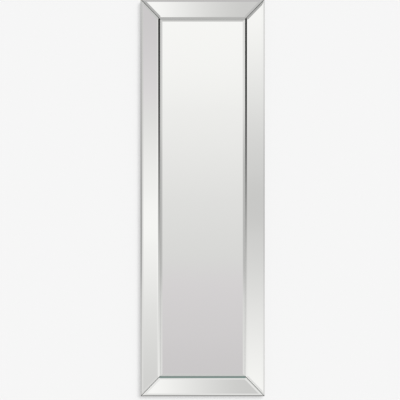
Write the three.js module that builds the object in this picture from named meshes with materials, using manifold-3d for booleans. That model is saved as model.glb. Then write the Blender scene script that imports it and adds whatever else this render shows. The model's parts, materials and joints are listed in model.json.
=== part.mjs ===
// An over-the-door mirror: a tall bevelled centre mirror inside a tray of four mitred, bevelled
// mirror strips that slope down to it, on mitred wedge rails and a base board, hung on two
// slotted steel hooks that go over the top of a door, with ring hangers for a wall instead.
//
// Millimetres. X runs to the right, the mirror faces -Y, Z is up. The origin is where the middle of
// the door's top edge meets the face that the mirror hangs on: the hooks rest on z = 0 and the
// pads and bumpers meet the door at y = 0.

import * as THREE from "three";
import { ConvexGeometry } from "three/addons/geometries/ConvexGeometry.js";
import { mergeVertices } from "three/addons/utils/BufferGeometryUtils.js";
import Module from "manifold-3d";

const wasm = await Module();
wasm.setup();

// ---- driving dimensions ----------------------------------------------------------------------

const WIDTH = 380; // over the strips' outer edges
const HEIGHT = 1216;
const STRIP_WIDTH = 59; // of a mirror strip, as seen from the front
const STRIP_RISE = 17; // how far a strip's outer edge stands in front of its inner edge
const GLASS = 4; // thickness of every mirror pane
const TAPE = 1; // mounting tape between glass and wood
const BOARD = 6; // base board
const STANDOFF = 6; // gap between the base board and the door
const TOP_DROP = 55; // from the door's top edge down to the mirror's top edge
const RAIL_LIP = 2; // thickness of a rail at its inner edge
const CENTRE_GAP = 0.4; // between the centre mirror and the rails round it
const MITRE_GAP = 0.7; // from each pane's cut end to the corner's diagonal

const DOOR_THICKNESS = 44; // the thickest door the hooks take
const HOOK_X = 95; // each hook's distance from the middle
const STRAP_WIDTH = 32;
const STRAP = 1.8; // thickness of the hooks' steel
const BEND_RADIUS = 4; // inside the hooks' two bends
const REAR_LEG = 42; // how far a hook reaches down behind the door
const SLOT_WIDTH = 4.6;
const HOOK_TRAVEL = 40; // how far the hooks slide up and down on their screws
const HOOK_SCREW_INSETS = [16, 42]; // from the mirror's top edge down to each hook screw

const HANGER_X = 164; // each ring hanger's distance from the middle
const HANGER_DROP = 165; // from the mirror's top edge down to the rings' axis
const HANGER_SCREW_RISE = 21; // from the ring's axis up to its screw
const PLATE = 0.8; // thickness of a hanger's plate
const PLATE_WIDTH = 14;
const RING_WIRE = 1.1; // radius
const RING_HALF_WIDTH = 10; // to the middle of the wire
const RING_DROP = 13;

const CIRCLE_STEPS = 16; // flats round screws, holes and washers

// ---- places worked out from them -------------------------------------------------------------

const TOP_Z = -TOP_DROP;
const MIDDLE_Z = TOP_Z - HEIGHT / 2;
const BOARD_BACK = -STANDOFF;
const BOARD_FRONT = BOARD_BACK - BOARD;
const CENTRE_BACK = BOARD_FRONT - TAPE;
const STRIP_FOOT = BOARD_FRONT - RAIL_LIP - TAPE; // where a strip's back meets its inner edge
const RING_AXIS_Z = TOP_Z - HANGER_DROP;
const SLOPE = Math.atan2(STRIP_RISE, STRIP_WIDTH);
const DEGREE = Math.PI / 180;

// ---- finishes --------------------------------------------------------------------------------

const finish = (color, roughness, metalness) =>
  new THREE.MeshStandardMaterial({ color, roughness, metalness });
const silvered = () => finish(0xdfe3e1, 0.03, 1);
const silverPaint = () => finish(0xb4b5b4, 0.45, 0.3);
const blackBoard = () => finish(0x2a2a2b, 0.85, 0);
const foamTape = () => finish(0xf2f2ee, 0.9, 0);
const nickel = () => finish(0xc9c9c6, 0.28, 1);
const whiteEnamel = () => finish(0xe9e9e6, 0.4, 0);
const felt = () => finish(0xdcdcd8, 0.95, 0);
const clearRubber = () => finish(0xcfd0cc, 0.5, 0);

const mirror = new THREE.Group();

function place(name, geometry, material, group = mirror) {
  const mesh = new THREE.Mesh(geometry, material);
  mesh.name = name;
  group.add(mesh);
  return mesh;
}

// ---- solids ----------------------------------------------------------------------------------

const vector = (x, y, z) => new THREE.Vector3(x, y, z);

// The half space n.p <= offset, through a point.
const halfSpace = (normal, point) => ({ normal, offset: normal.dot(point) });

// The convex solid inside every half space: its corners are where three planes meet.
function convexSolid(planes) {
  const corners = [];
  const matrix = new THREE.Matrix3();
  for (let i = 0; i < planes.length; i++) {
    for (let j = i + 1; j < planes.length; j++) {
      for (let k = j + 1; k < planes.length; k++) {
        const [a, b, c] = [planes[i], planes[j], planes[k]];
        matrix.set(...a.normal, ...b.normal, ...c.normal);
        if (Math.abs(matrix.determinant()) < 1e-6) continue;
        const corner = vector(a.offset, b.offset, c.offset).applyMatrix3(matrix.invert());
        if (planes.every((p) => p.normal.dot(corner) < p.offset + 1e-6)) corners.push(corner);
      }
    }
  }
  return new ConvexGeometry(corners);
}

function solid(geometry) {
  const bare = geometry.clone();
  bare.deleteAttribute("normal");
  bare.deleteAttribute("uv");
  const merged = mergeVertices(bare, 1e-4);
  return new wasm.Manifold(
    new wasm.Mesh({
      numProp: 3,
      vertProperties: new Float32Array(merged.attributes.position.array),
      triVerts: new Uint32Array(merged.index.array),
    }),
  );
}

function geometryOf(manifold) {
  const mesh = manifold.getMesh();
  const geometry = new THREE.BufferGeometry();
  geometry.setAttribute("position", new THREE.BufferAttribute(mesh.vertProperties, 3));
  geometry.setIndex(new THREE.BufferAttribute(mesh.triVerts, 1));
  return geometry;
}

const cut = (geometry, tools) =>
  geometryOf(tools.reduce((body, tool) => body.subtract(solid(tool)), solid(geometry)));

// A box between two corners.
function box(low, high) {
  const size = high.map((v, i) => v - low[i]);
  const middle = high.map((v, i) => (v + low[i]) / 2);
  return new THREE.BoxGeometry(...size).translate(...middle);
}

// A turned piece whose profile of [radius, height] points stands on +Y at (x, 0, z).
function turned(profile, x, z) {
  const points = profile.map(([radius, height]) => new THREE.Vector2(radius, height));
  return new THREE.LatheGeometry(points, CIRCLE_STEPS).translate(x, 0, z);
}

// A flat-ended cylinder along Y.
const peg = (x, z, radius, from, to) =>
  turned([[0, from], [radius, from], [radius, to], [0, to]], x, z);

// ---- mirror panes ----------------------------------------------------------------------------

// A pane lies on the plane through `foot` with its front towards `front`. Each side has the outward
// normal of its cut and the facets ground along it: a facet passes a point `inset` in from the
// side and `height` above the pane's back, and leans outwards by `angle`.
function pane(front, foot, sides) {
  const top = foot.clone().addScaledVector(front, GLASS);
  const planes = [halfSpace(front.clone().negate(), foot), halfSpace(front, top)];
  for (const { normal, point, facets } of sides) {
    const side = halfSpace(normal, point);
    planes.push(side);
    const lean = normal.dot(front);
    const back = front.dot(foot);
    const across = normal.clone().addScaledVector(front, -lean).normalize();
    // The point on this side's lower edge that is nearest the origin.
    const along = (side.offset - lean * back) / (1 - lean * lean);
    const edge = normal.clone().multiplyScalar(along);
    edge.addScaledVector(front, back - lean * along);
    for (const { inset, height, angle } of facets) {
      const on = edge.clone().addScaledVector(across, -inset).addScaledVector(front, height);
      const facing = front.clone().multiplyScalar(Math.cos(angle));
      planes.push(halfSpace(facing.addScaledVector(across, Math.sin(angle)), on));
    }
  }
  return convexSolid(planes);
}

const CENTRE_BEVEL = [{ inset: 7, height: GLASS, angle: 11 * DEGREE }];
const OUTER_BEVEL = [
  { inset: 7.5, height: GLASS, angle: 7 * DEGREE },
  { inset: 0, height: 0.5, angle: 45 * DEGREE },
];
const INNER_BEVEL = [
  { inset: 10.5, height: GLASS, angle: 7 * DEGREE },
  { inset: 0, height: 0.5, angle: 24 * DEGREE },
];
const MITRE_BEVEL = [{ inset: 7.5, height: GLASS, angle: 10 * DEGREE }];

const centreHalfWidth = WIDTH / 2 - STRIP_WIDTH - CENTRE_GAP;
const centreHalfHeight = HEIGHT / 2 - STRIP_WIDTH - CENTRE_GAP;

place(
  "centre_mirror",
  pane(
    vector(0, -1, 0),
    vector(0, CENTRE_BACK, 0),
    [
      [vector(1, 0, 0), centreHalfWidth],
      [vector(-1, 0, 0), centreHalfWidth],
      [vector(0, 0, 1), centreHalfHeight],
      [vector(0, 0, -1), centreHalfHeight],
    ].map(([normal, reach]) => ({
      normal,
      point: normal.clone().multiplyScalar(reach),
      facets: CENTRE_BEVEL,
    })),
  ).translate(0, 0, MIDDLE_Z),
  silvered(),
);

// ---- where the screws go ---------------------------------------------------------------------

// Each side is made as the bottom one, with its outer edge `reach` below the mirror's middle and
// `half` to each end, and is then turned about Y to its place.
const LONG_SIDE_SCREWS = [-480, -160, 160, 480];
const SIDES = [
  { name: "bottom", turn: 0, reach: HEIGHT / 2, half: WIDTH / 2, screws: [0] },
  { name: "left", turn: 1, reach: WIDTH / 2, half: HEIGHT / 2, screws: LONG_SIDE_SCREWS },
  { name: "top", turn: 2, reach: HEIGHT / 2, half: WIDTH / 2, screws: [0] },
  { name: "right", turn: 3, reach: WIDTH / 2, half: HEIGHT / 2, screws: LONG_SIDE_SCREWS },
];
const HANDS = { left: -1, right: 1 };
const PILOT = 2.2; // radius of a screw's hole in wood
const BOARD_SCREW_INSET = 20; // from the outer edge to the screws that hold the board to the rails
const BOARD_SCREW_LENGTH = 15;
const HANGER_SCREW_LENGTH = 14;
const HOOK_SCREW_BITE = 5.5; // how deep the holes of the hooks' screws go into the top rail

// A side's group, whose bottom side is turned to its own place.
function sideGroup(side) {
  const group = new THREE.Group();
  group.position.z = MIDDLE_Z;
  group.rotation.y = (side.turn * Math.PI) / 2;
  group.updateMatrixWorld(true);
  mirror.add(group);
  return group;
}
const groups = Object.fromEntries(SIDES.map((side) => [side.name, sideGroup(side)]));

// Every screw that goes through the base board, the rail it bites and how deep it bites there.
const boardScrews = SIDES.flatMap(({ name, reach, screws }) =>
  screws.map((along, index) => {
    const at = vector(along, 0, -reach + BOARD_SCREW_INSET).applyMatrix4(groups[name].matrix);
    const bite = BOARD_SCREW_LENGTH - BOARD + 1;
    return { name: `${name}_board_screw_${index + 1}`, rail: name, x: at.x, z: at.z, bite };
  }),
);
const hookScrews = Object.entries(HANDS).flatMap(([hand, sign]) =>
  HOOK_SCREW_INSETS.map((inset, index) => {
    const name = `${hand}_${["upper", "lower"][index]}_hook`;
    return { name, rail: "top", x: sign * HOOK_X, z: TOP_Z - inset, bite: HOOK_SCREW_BITE };
  }),
);
const hangerScrews = Object.entries(HANDS).map(([hand, sign]) => ({
  name: `${hand}_hanger_screw`,
  rail: hand,
  x: sign * HANGER_X,
  z: RING_AXIS_Z + HANGER_SCREW_RISE,
  bite: HANGER_SCREW_LENGTH - BOARD - 1,
}));

// ---- the four sides: rail, tape and strip ----------------------------------------------------

const slopeFront = vector(0, -Math.cos(SLOPE), Math.sin(SLOPE));

// The two mitre cuts at a side's ends, `gap` back from the corners' diagonals.
const mitres = (side, gap) =>
  [1, -1].map((end) => ({
    normal: vector(end, 0, 1).normalize(),
    point: vector(end * (side.half - gap * Math.SQRT2), 0, -side.reach),
    facets: [],
  }));

function strip(side) {
  const foot = vector(0, STRIP_FOOT, -side.reach + STRIP_WIDTH);
  const cutEnds = mitres(side, MITRE_GAP).map((end) => ({ ...end, facets: MITRE_BEVEL }));
  return pane(slopeFront, foot, [
    { normal: vector(0, 0, -1), point: vector(0, 0, -side.reach), facets: OUTER_BEVEL },
    { normal: vector(0, 0, 1), point: foot, facets: INNER_BEVEL },
    ...cutEnds,
  ]);
}

// A layer under a side's strip, `near` behind the glass, from `outer` to `inner` in from the
// mirror's edge, with its mitres `gap` back, and closed behind by the plane `under`.
function layer(side, near, outer, inner, gap, under) {
  const top = vector(0, STRIP_FOOT, -side.reach + STRIP_WIDTH).addScaledVector(slopeFront, -near);
  return convexSolid([
    halfSpace(slopeFront, top),
    halfSpace(vector(0, 0, -1), vector(0, 0, -side.reach + outer)),
    halfSpace(vector(0, 0, 1), vector(0, 0, -side.reach + inner)),
    ...mitres(side, gap).map(({ normal, point }) => halfSpace(normal, point)),
    under,
  ]);
}

const TAPE_WIDTH = 24;
const TAPE_CLEAR = 0.05; // the tape stops just short of what it sticks to
const TAPE_END_GAP = 12; // from a tape's ends to the corners' diagonals
const RAIL_INSET = 0.5; // the wood stops just short of the glass at the outer edge
const RAIL_GAP = 0.05; // from a rail's cut end to the corner's diagonal

function stripTape(side) {
  const [outer, inner] = [-1, 1].map((end) => (STRIP_WIDTH + end * TAPE_WIDTH) / 2);
  const foot = vector(0, STRIP_FOOT, -side.reach + STRIP_WIDTH);
  const behind = foot.addScaledVector(slopeFront, -TAPE + TAPE_CLEAR);
  const under = halfSpace(slopeFront.clone().negate(), behind);
  return layer(side, TAPE_CLEAR, outer, inner, TAPE_END_GAP, under);
}

function rail(side) {
  const onBoard = halfSpace(vector(0, 1, 0), vector(0, BOARD_FRONT, 0));
  const wedge = layer(side, TAPE, RAIL_INSET, STRIP_WIDTH, RAIL_GAP, onBoard);
  const toSide = groups[side.name].matrix.clone().invert();
  const pilots = [...boardScrews, ...hookScrews, ...hangerScrews]
    .filter((screw) => screw.rail === side.name)
    .map(({ x, z, bite }) => peg(x, z, PILOT, BOARD_FRONT - bite, BOARD_FRONT + 1))
    .map((hole) => hole.applyMatrix4(toSide));
  return cut(wedge, pilots);
}

for (const side of SIDES) {
  const group = groups[side.name];
  place(`${side.name}_mirror_strip`, strip(side), silvered(), group);
  place(`${side.name}_strip_tape`, stripTape(side), foamTape(), group);
  place(`${side.name}_rail`, rail(side), silverPaint(), group);
}

// ---- tape behind the centre mirror -----------------------------------------------------------

const CENTRE_TAPE_HALF_LENGTH = 480;
const centreTapes = { left: -90, middle: 0, right: 90 };
for (const [name, x] of Object.entries(centreTapes)) {
  const low = [x - TAPE_WIDTH / 2, CENTRE_BACK + TAPE_CLEAR, MIDDLE_Z - CENTRE_TAPE_HALF_LENGTH];
  const high = [x + TAPE_WIDTH / 2, BOARD_FRONT - TAPE_CLEAR, MIDDLE_Z + CENTRE_TAPE_HALF_LENGTH];
  place(`${name}_centre_tape`, box(low, high), foamTape());
}

// ---- screws ----------------------------------------------------------------------------------

// A cross recess, sunk from `face` towards -Y.
function crossRecess(x, z, face, span, depth) {
  const half = span / 2;
  const slot = span / 8;
  const bottom = face - depth;
  return [
    box([x - half, bottom, z - slot], [x + half, face + 1, z + slot]),
    box([x - slot, bottom, z - half], [x + slot, face + 1, z + half]),
  ];
}

// A wood screw along Y with its head's top at `face` and its point towards -Y.
function woodScrew(x, z, face, length, shank, head) {
  const profile = [
    [0, face - length],
    [shank, face - length + 2 * shank],
    ...head.map(([radius, below]) => [radius, face - below]),
    [0, face],
  ];
  return cut(turned(profile, x, z), crossRecess(x, z, face, 4.4, 1.1));
}

const SHANK = 1.9;
const COUNTERSUNK_HEAD = [[SHANK, 2.4], [3.9, 0.4], [3.9, 0]];
const PAN_HEIGHT = 2.2;
const PAN_HEAD = [[SHANK, PAN_HEIGHT], [3.8, PAN_HEIGHT], [3.8, 0.8], [2.8, 0.1]];
const WASHER = 0.8;
const SUNK = 0.2; // a countersunk head's top lies this far below the board's back

for (const { name, x, z } of boardScrews) {
  const face = BOARD_BACK - SUNK;
  place(name, woodScrew(x, z, face, BOARD_SCREW_LENGTH - SUNK, SHANK, COUNTERSUNK_HEAD), nickel());
}

// ---- hooks over the door ---------------------------------------------------------------------

const STRAP_BACK = BOARD_BACK + 0.2 + STRAP; // the hook slides 0.2 mm clear of the board
const SEAT_PAD = 2; // felt under the hook's top, between it and the door
const REAR_PAD = 2;
const PAD_INSET = 2; // from the strap's edges to the pads'
const SEAT_PAD_INSET = 6; // from the door's two faces to the seat pad's ends
const FRONT_PAD_SPAN = [-50, -8];
const REAR_PAD_SPAN = [-34, -8];
const SLOT_BOTTOM = TOP_Z - HOOK_SCREW_INSETS[1] - HOOK_TRAVEL;
const LEG_END = SLOT_BOTTOM - 11;
const LEG_CORNER = 6; // radius of the front leg's two lower corners
const REAR_FLARE = 4; // the rear leg's end turns out, to slip over the door
const FLARE_LENGTH = 6;
const SPARE = 2; // what the bent strip has over the outline that it is cut to

// The outline of a sheet of even thickness bent along points in its middle plane.
function bentSheet(middle, thickness) {
  const offset = (sign) =>
    middle.map((point, i) => {
      const before = middle[Math.max(i - 1, 0)];
      const after = middle[Math.min(i + 1, middle.length - 1)];
      const into = point.clone().sub(before).normalize();
      const out = after.clone().sub(point).normalize();
      const a = i === 0 ? out : into;
      const b = i === middle.length - 1 ? into : out;
      const normal = vector(-(a.y + b.y), a.x + b.x, 0).normalize();
      const stretch = 1 / (normal.x * -a.y + normal.y * a.x);
      const reach = (sign * thickness * stretch) / 2;
      return new THREE.Vector2(point.x + normal.x * reach, point.y + normal.y * reach);
    });
  return new THREE.Shape([...offset(1), ...offset(-1).reverse()]);
}

// A shape drawn in (y, z), given its length along X about x.
const alongX = (shape, length, x) =>
  new THREE.ExtrudeGeometry(shape, { depth: length, bevelEnabled: false, steps: 1 })
    .applyMatrix4(new THREE.Matrix4().set(0, 0, 1, x - length / 2, 1, 0, 0, 0, 0, 1, 0, 0, 0, 0, 0, 1));

// A shape drawn in (x, z), given its depth along Y from `near` to `far`.
const alongY = (shape, near, far) =>
  new THREE.ExtrudeGeometry(shape, { depth: far - near, bevelEnabled: false, curveSegments: 4 })
    .applyMatrix4(new THREE.Matrix4().set(1, 0, 0, 0, 0, 0, -1, far, 0, 1, 0, 0, 0, 0, 0, 1));

function strapPath() {
  const front = STRAP_BACK - STRAP / 2;
  const rear = DOOR_THICKNESS + REAR_PAD + STRAP / 2;
  const top = SEAT_PAD + STRAP / 2;
  const bend = BEND_RADIUS + STRAP / 2;
  const path = new THREE.Path();
  path.moveTo(front, LEG_END - SPARE);
  path.lineTo(front, top - bend);
  path.absarc(front + bend, top - bend, bend, Math.PI, Math.PI / 2, true);
  path.lineTo(rear - bend, top);
  path.absarc(rear - bend, top - bend, bend, Math.PI / 2, 0, true);
  path.lineTo(rear, -REAR_LEG + FLARE_LENGTH);
  path.lineTo(rear + REAR_FLARE, -REAR_LEG);
  return path;
}

// The strap seen from the front, with rounded lower corners and its slot, open above its top.
function strapFront(x) {
  const half = STRAP_WIDTH / 2;
  const above = SEAT_PAD + STRAP + SPARE;
  const arc = LEG_CORNER;
  const outline = new THREE.Shape();
  outline.moveTo(x + half, above);
  outline.lineTo(x - half, above);
  outline.lineTo(x - half, LEG_END + arc);
  outline.absarc(x - half + arc, LEG_END + arc, arc, Math.PI, 1.5 * Math.PI, false);
  outline.lineTo(x + half - arc, LEG_END);
  outline.absarc(x + half - arc, LEG_END + arc, arc, 1.5 * Math.PI, 2 * Math.PI, false);
  const slot = new THREE.Path();
  slot.absarc(x, TOP_Z - HOOK_SCREW_INSETS[0], SLOT_WIDTH / 2, 0, Math.PI, false);
  slot.absarc(x, SLOT_BOTTOM, SLOT_WIDTH / 2, Math.PI, 2 * Math.PI, false);
  outline.holes.push(slot);
  return outline;
}

for (const [hand, sign] of Object.entries(HANDS)) {
  const x = sign * HOOK_X;
  const bent = bentSheet(strapPath().getPoints(5), STRAP);
  const strap = alongX(bent, STRAP_WIDTH + 2 * SPARE, x);
  const plate = alongY(strapFront(x), BOARD_BACK, DOOR_THICKNESS + 20);
  const hook = geometryOf(solid(strap).intersect(solid(plate)));
  place(`${hand}_door_hook`, hook, whiteEnamel());

  const padHalf = STRAP_WIDTH / 2 - PAD_INSET;
  const seatLow = [x - padHalf, SEAT_PAD_INSET, 0];
  const seatHigh = [x + padHalf, DOOR_THICKNESS - SEAT_PAD_INSET, SEAT_PAD];
  place(`${hand}_hook_seat_pad`, box(seatLow, seatHigh), felt());
  const frontLow = [x - padHalf, STRAP_BACK, FRONT_PAD_SPAN[0]];
  const frontHigh = [x + padHalf, 0, FRONT_PAD_SPAN[1]];
  place(`${hand}_hook_front_pad`, box(frontLow, frontHigh), felt());
  const rearLow = [x - padHalf, DOOR_THICKNESS, REAR_PAD_SPAN[0]];
  const rearHigh = [x + padHalf, DOOR_THICKNESS + REAR_PAD, REAR_PAD_SPAN[1]];
  place(`${hand}_hook_rear_pad`, box(rearLow, rearHigh), felt());
}

for (const { name, x, z, bite } of hookScrews) {
  const seat = STRAP_BACK + 0.1;
  const hole = peg(x, z, PILOT, seat - 1, seat + 2);
  place(`${name}_washer`, cut(peg(x, z, 5.5, seat, seat + WASHER), [hole]), nickel());
  const face = seat + WASHER + 0.05 + PAN_HEIGHT;
  const length = face - (BOARD_FRONT - bite + 1);
  place(`${name}_screw`, woodScrew(x, z, face, length, SHANK, PAN_HEAD), nickel());
}

// ---- ring hangers ----------------------------------------------------------------------------

const KNUCKLE = RING_WIRE + 0.25 + PLATE; // outer radius of the curl round the ring's bar
const RING_AXIS_Y = BOARD_BACK + KNUCKLE;

function hangerPlatePath() {
  const middle = KNUCKLE - PLATE / 2;
  const path = new THREE.Path();
  path.moveTo(BOARD_BACK + PLATE / 2, RING_AXIS_Z + HANGER_SCREW_RISE + 8);
  path.lineTo(BOARD_BACK + PLATE / 2, RING_AXIS_Z);
  path.absarc(RING_AXIS_Y, RING_AXIS_Z, middle, Math.PI, 2.5 * Math.PI, false);
  return path;
}

// The wire runs from the middle of the bar round the D and back, its ends just apart.
function ringPath(x) {
  const corner = 3;
  const outline = new THREE.Path();
  outline.moveTo(0.3, 0);
  outline.lineTo(RING_HALF_WIDTH - corner, 0);
  outline.absarc(RING_HALF_WIDTH - corner, -corner, corner, Math.PI / 2, 0, true);
  outline.lineTo(RING_HALF_WIDTH, RING_HALF_WIDTH - RING_DROP);
  outline.absarc(0, RING_HALF_WIDTH - RING_DROP, RING_HALF_WIDTH, 0, -Math.PI, true);
  outline.lineTo(-RING_HALF_WIDTH, -corner);
  outline.absarc(-RING_HALF_WIDTH + corner, -corner, corner, Math.PI, Math.PI / 2, true);
  outline.lineTo(-0.3, 0);
  const points = outline.getSpacedPoints(48);
  return new THREE.CatmullRomCurve3(
    points.map((p) => vector(x + p.x, RING_AXIS_Y, RING_AXIS_Z + p.y)),
  );
}

function wire(path, radius, steps) {
  const section = new THREE.Shape();
  section.absarc(0, 0, radius, 0, 2 * Math.PI, false);
  return new THREE.ExtrudeGeometry(section, { extrudePath: path, steps, curveSegments: 4 });
}

for (const [hand, sign] of Object.entries(HANDS)) {
  const x = sign * HANGER_X;
  const z = RING_AXIS_Z + HANGER_SCREW_RISE;
  const sheet = alongX(bentSheet(hangerPlatePath().getPoints(8), PLATE), PLATE_WIDTH, x);
  const plate = cut(sheet, [peg(x, z, PILOT, BOARD_BACK - 1, BOARD_BACK + 2)]);
  place(`${hand}_hanger_plate`, plate, nickel());
  place(`${hand}_hanger_ring`, wire(ringPath(x), RING_WIRE, 48), nickel());
}
for (const { name, x, z } of hangerScrews) {
  const face = BOARD_BACK + PLATE + 0.05 + PAN_HEIGHT;
  place(name, woodScrew(x, z, face, HANGER_SCREW_LENGTH, SHANK, PAN_HEAD), nickel());
}

// ---- base board ------------------------------------------------------------------------------

const BOARD_INSET = 1.5; // the board stops just short of the rails' outer faces
const COUNTERSINK = 4.4; // radius
const COUNTERSINK_DEPTH = 2.7;
const countersinks = boardScrews.map(({ x, z }) => {
  const profile = [
    [0, BOARD_FRONT - 1],
    [PILOT, BOARD_FRONT - 1],
    [PILOT, BOARD_BACK - COUNTERSINK_DEPTH],
    [COUNTERSINK, BOARD_BACK - SUNK - 0.1],
    [COUNTERSINK, BOARD_BACK + 1],
    [0, BOARD_BACK + 1],
  ];
  return turned(profile, x, z);
});
const clearHoles = [...hookScrews, ...hangerScrews].map(({ x, z }) =>
  peg(x, z, PILOT, BOARD_FRONT - 1, BOARD_BACK + 1),
);
const boardHalfWidth = WIDTH / 2 - BOARD_INSET;
const boardHalfHeight = HEIGHT / 2 - BOARD_INSET;
const sheetOfBoard = box(
  [-boardHalfWidth, BOARD_FRONT, MIDDLE_Z - boardHalfHeight],
  [boardHalfWidth, BOARD_BACK, MIDDLE_Z + boardHalfHeight],
);
place("base_board", cut(sheetOfBoard, [...countersinks, ...clearHoles]), blackBoard());

// ---- bumpers ---------------------------------------------------------------------------------

const BUMPER_INSET = 24; // from the mirror's edges to the middle of each bumper
const BUMPER_RADIUS = 8;
const BUMPER_CHAMFER = 1.5;
const BUMPER = [
  [0, BOARD_BACK],
  [BUMPER_RADIUS, BOARD_BACK],
  [BUMPER_RADIUS, -BUMPER_CHAMFER],
  [BUMPER_RADIUS - BUMPER_CHAMFER, 0],
  [0, 0],
];
for (const [hand, sign] of Object.entries(HANDS)) {
  const x = sign * (WIDTH / 2 - BUMPER_INSET);
  place(`upper_${hand}_bumper`, turned(BUMPER, x, TOP_Z - BUMPER_INSET), clearRubber());
  place(`lower_${hand}_bumper`, turned(BUMPER, x, TOP_Z - HEIGHT + BUMPER_INSET), clearRubber());
}

export default mirror;
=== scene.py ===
# An over-the-door mirror: a bevelled centre pane in a tray of four mitred mirror strips, on wedge
# rails and a base board, with two slotted steel hooks and two ring hangers behind. Metres.

import json
import math

import bmesh
import bpy
import numpy as np
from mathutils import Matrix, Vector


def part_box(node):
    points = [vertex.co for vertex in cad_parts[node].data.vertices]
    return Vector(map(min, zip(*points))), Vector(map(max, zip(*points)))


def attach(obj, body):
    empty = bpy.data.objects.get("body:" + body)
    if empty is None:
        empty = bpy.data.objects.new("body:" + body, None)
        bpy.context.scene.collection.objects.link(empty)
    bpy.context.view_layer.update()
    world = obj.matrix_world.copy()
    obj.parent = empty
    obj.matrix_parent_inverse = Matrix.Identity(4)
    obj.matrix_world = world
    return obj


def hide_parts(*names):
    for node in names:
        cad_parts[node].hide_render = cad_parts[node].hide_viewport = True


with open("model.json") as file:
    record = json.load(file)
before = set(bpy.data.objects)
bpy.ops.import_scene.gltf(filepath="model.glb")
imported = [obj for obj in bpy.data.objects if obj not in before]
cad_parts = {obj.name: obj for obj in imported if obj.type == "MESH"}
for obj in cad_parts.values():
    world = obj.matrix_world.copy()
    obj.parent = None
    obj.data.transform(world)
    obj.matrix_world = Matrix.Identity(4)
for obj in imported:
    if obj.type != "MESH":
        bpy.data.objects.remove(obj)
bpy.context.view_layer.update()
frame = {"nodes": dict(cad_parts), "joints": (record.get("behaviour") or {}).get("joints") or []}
MM = 0.001
SAME_POINT = 0.01 * MM  # points closer than this are one
scene = bpy.context.scene

# ---- base board ------------------------------------------------------------------------------
# A 6 mm sheet of fibreboard that carries everything, with sawn and eased edges. It is rolled
# with matt black paint behind and round its edges, and drilled and countersunk for its screws.


def box_of(node):
    """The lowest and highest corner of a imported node, as two arrays."""
    low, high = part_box(node)
    return np.array(low), np.array(high)


def eased_copy(node, name, ease, segments=2, sharpest=25):
    """A node's own solid with its flat faces joined up and every edge of more than `sharpest`
    degrees rounded off over a width of `ease`. Its faces stay flat."""
    mesh = frame["nodes"][node].data.copy()
    mesh.name = name
    work = bmesh.new()
    work.from_mesh(mesh)
    bmesh.ops.remove_doubles(work, verts=work.verts, dist=SAME_POINT)
    edges = [e for e in work.edges if e.is_manifold and e.calc_face_angle() < math.radians(0.5)]
    bmesh.ops.dissolve_edges(work, edges=edges, use_verts=True)
    work.to_mesh(mesh)
    work.free()
    mesh.shade_flat()
    mesh.materials.clear()
    piece = bpy.data.objects.new(name, mesh)
    scene.collection.objects.link(piece)
    round_edges(piece, ease, segments, sharpest)
    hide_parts(node)
    return piece


def round_edges(piece, ease, segments, sharpest=25):
    """A live Bevel on every edge of more than `sharpest` degrees."""
    bevel = piece.modifiers.new("eased edges", "BEVEL")
    bevel.width = ease
    bevel.segments = segments
    bevel.limit_method = "ANGLE"
    bevel.angle_limit = math.radians(sharpest)
    bevel.harden_normals = True


def finish_with(piece, material, body):
    """Gives a piece its material and the body that it rides on."""
    piece.data.materials.append(material)
    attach(piece, body)


def new_material(name, colour, roughness, metallic=0.0):
    """A material's node tree and its shader, whose even values are set on the shader itself."""
    material = bpy.data.materials.new(name)
    material.use_nodes = True
    shader = material.node_tree.nodes["Principled BSDF"]
    shader.inputs["Base Color"].default_value = (*colour, 1)
    shader.inputs["Roughness"].default_value = roughness
    shader.inputs["Metallic"].default_value = metallic
    return material, material.node_tree, shader


def noise(tree, scale, detail=3.0, stretch=(1, 1, 1), distortion=0.0):
    """Noise with `scale` bumps to the metre, on the piece's own coordinates."""
    place = tree.nodes.new("ShaderNodeTexCoord")
    mapping = tree.nodes.new("ShaderNodeMapping")
    mapping.inputs["Scale"].default_value = stretch
    tree.links.new(place.outputs["Object"], mapping.inputs["Vector"])
    texture = tree.nodes.new("ShaderNodeTexNoise")
    texture.inputs["Scale"].default_value = scale
    texture.inputs["Detail"].default_value = detail
    texture.inputs["Distortion"].default_value = distortion
    tree.links.new(mapping.outputs["Vector"], texture.inputs["Vector"])
    return texture.outputs["Fac"]


def spread(tree, value, low, high, target, start=0.35, end=0.65):
    """Carries a noise value from start..end over to low..high, into the target socket."""
    carry = tree.nodes.new("ShaderNodeMapRange")
    carry.inputs["From Min"].default_value = start
    carry.inputs["From Max"].default_value = end
    carry.inputs["To Min"].default_value = low
    carry.inputs["To Max"].default_value = high
    tree.links.new(value, carry.inputs["Value"])
    tree.links.new(carry.outputs["Result"], target)


def two_colours(tree, value, one, other, start=0.35, end=0.65):
    """A colour that wanders from one to the other as the value goes from start to end."""
    ramp = tree.nodes.new("ShaderNodeValToRGB")
    ramp.color_ramp.elements[0].position = start
    ramp.color_ramp.elements[0].color = (*one, 1)
    ramp.color_ramp.elements[1].position = end
    ramp.color_ramp.elements[1].color = (*other, 1)
    tree.links.new(value, ramp.inputs["Fac"])
    return ramp.outputs["Color"]


def raised(tree, shader, value, height):
    """Raises the surface by the value times a height in metres."""
    bump = tree.nodes.new("ShaderNodeBump")
    bump.inputs["Strength"].default_value = 1.0
    bump.inputs["Distance"].default_value = height
    tree.links.new(value, bump.inputs["Height"])
    tree.links.new(bump.outputs["Normal"], shader.inputs["Normal"])


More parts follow.
